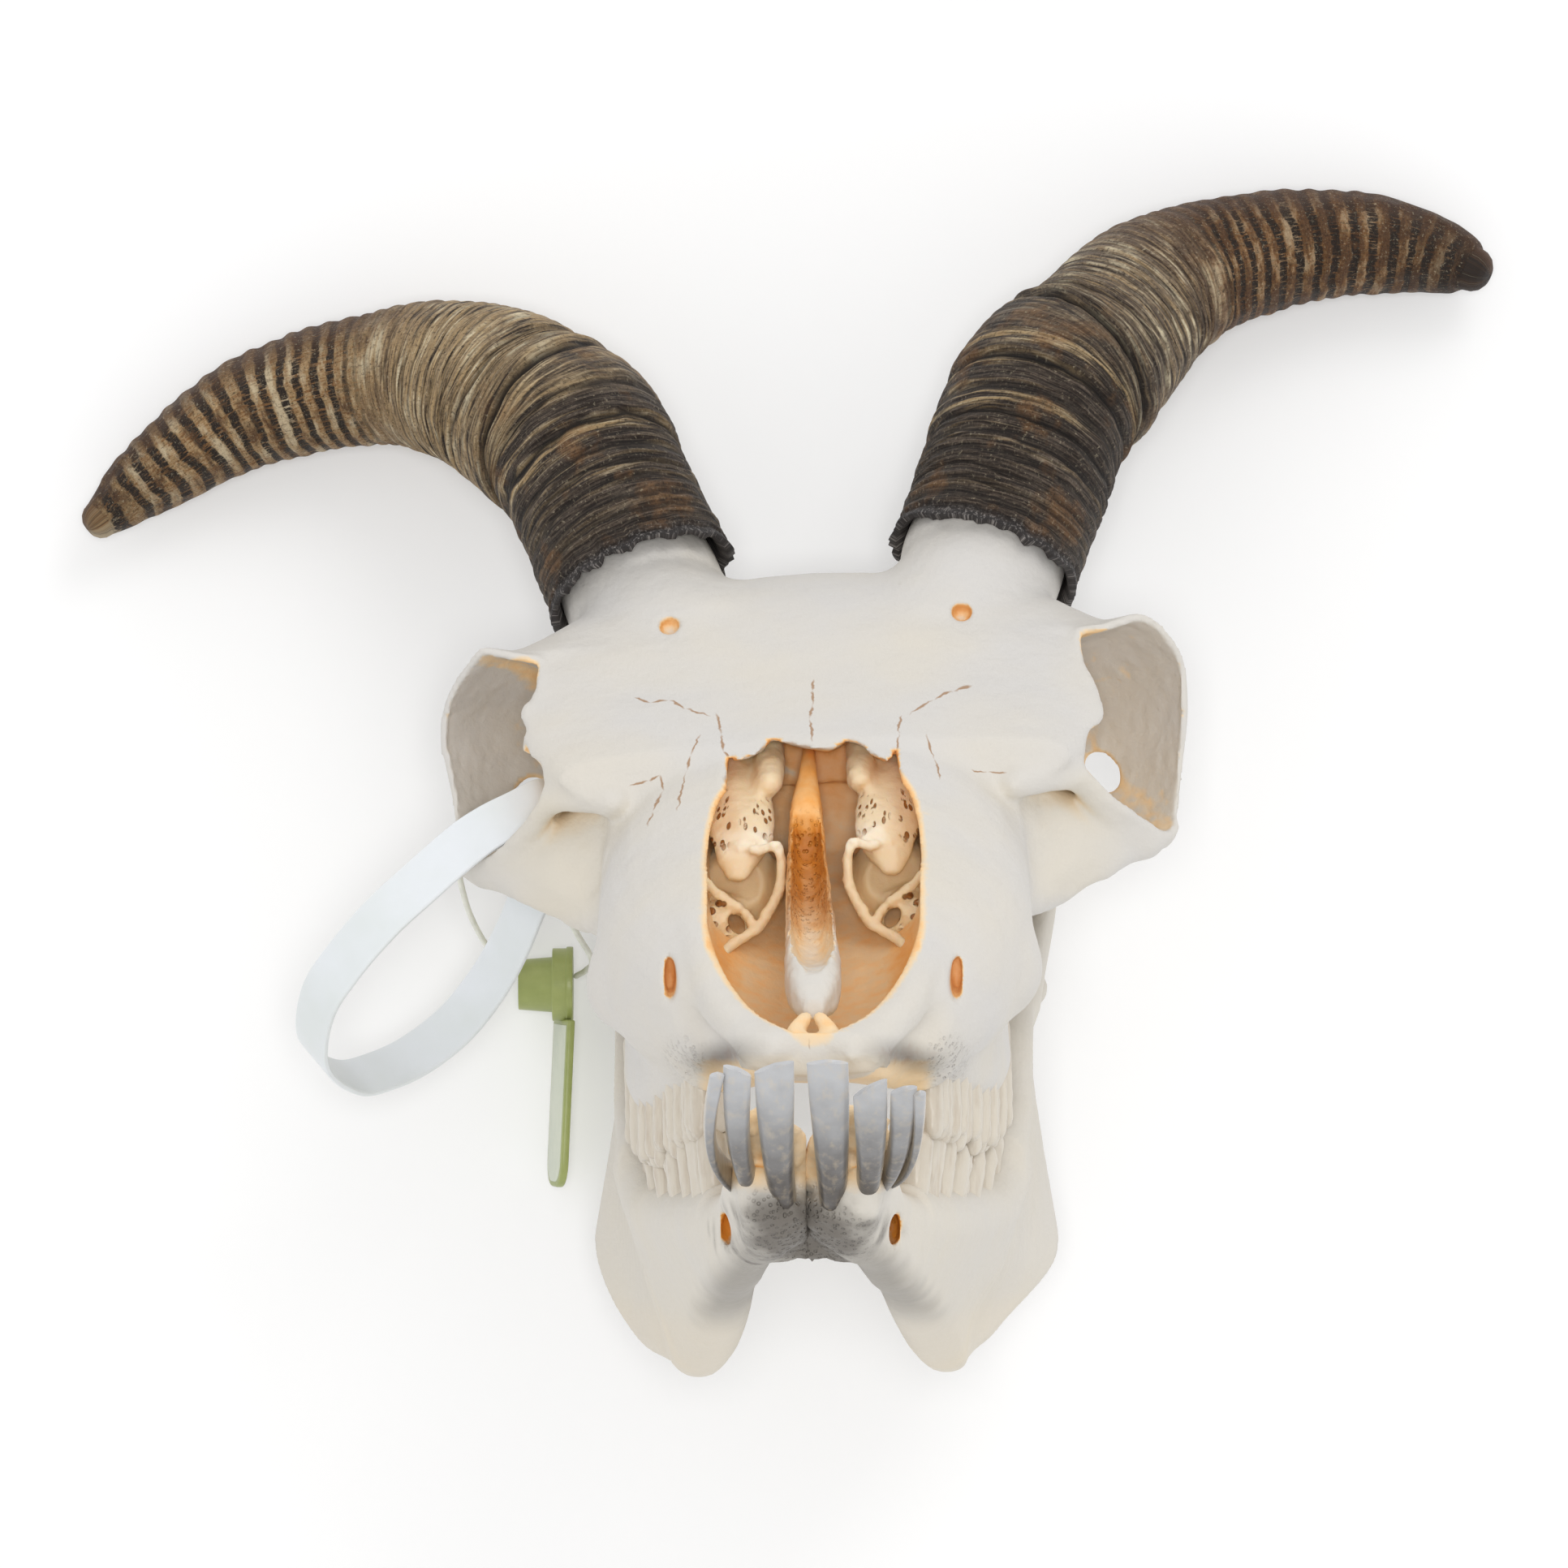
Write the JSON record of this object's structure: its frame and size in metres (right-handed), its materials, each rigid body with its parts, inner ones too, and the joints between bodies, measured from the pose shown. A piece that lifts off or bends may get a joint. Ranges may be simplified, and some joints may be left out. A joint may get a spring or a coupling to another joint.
{
  "type": "bighorn sheep skull",
  "caption": "Skull of a young bighorn sheep with short curved horns, lying on its back, with a plastic strap and a green tag.",
  "frame": {"origin": "bottom centre of the bounding box, on the plane that the back of the skull and both horns rest on", "axes": "+Z from the back of the skull to the nose, +Y towards the crown and the horns, +X to the animal's left"},
  "size_m": [0.2602, 0.2138, 0.2451],
  "materials": {
    "bone": "matte, slightly porous bleached bone, ivory in the eye sockets and orange brown in the nose",
    "horn": "dull ridged horn sheath, dark grey brown at the base and tan with dark cross bands further out",
    "enamel": "satin tooth enamel",
    "strap": "milky, slightly translucent plastic",
    "tag": "olive green moulded plastic",
    "tag_face": "pale inset of the tag strip"
  },
  "bodies": {
    "root": {"braincase": "bone", "brow_left": "bone", "brow_right": "bone", "upper_jaw_left": "bone", "upper_jaw_right": "bone", "lower_jaw_left": "bone", "lower_jaw_right": "bone", "vomer": "bone", "concha_left": "bone", "concha_right": "bone", "horn_left": "horn", "horn_right": "horn", "band_seal": "strap", "tag_button": "tag", "tag_strip": "tag", "tag_cord": "strap"}
  },
  "joints": []
}
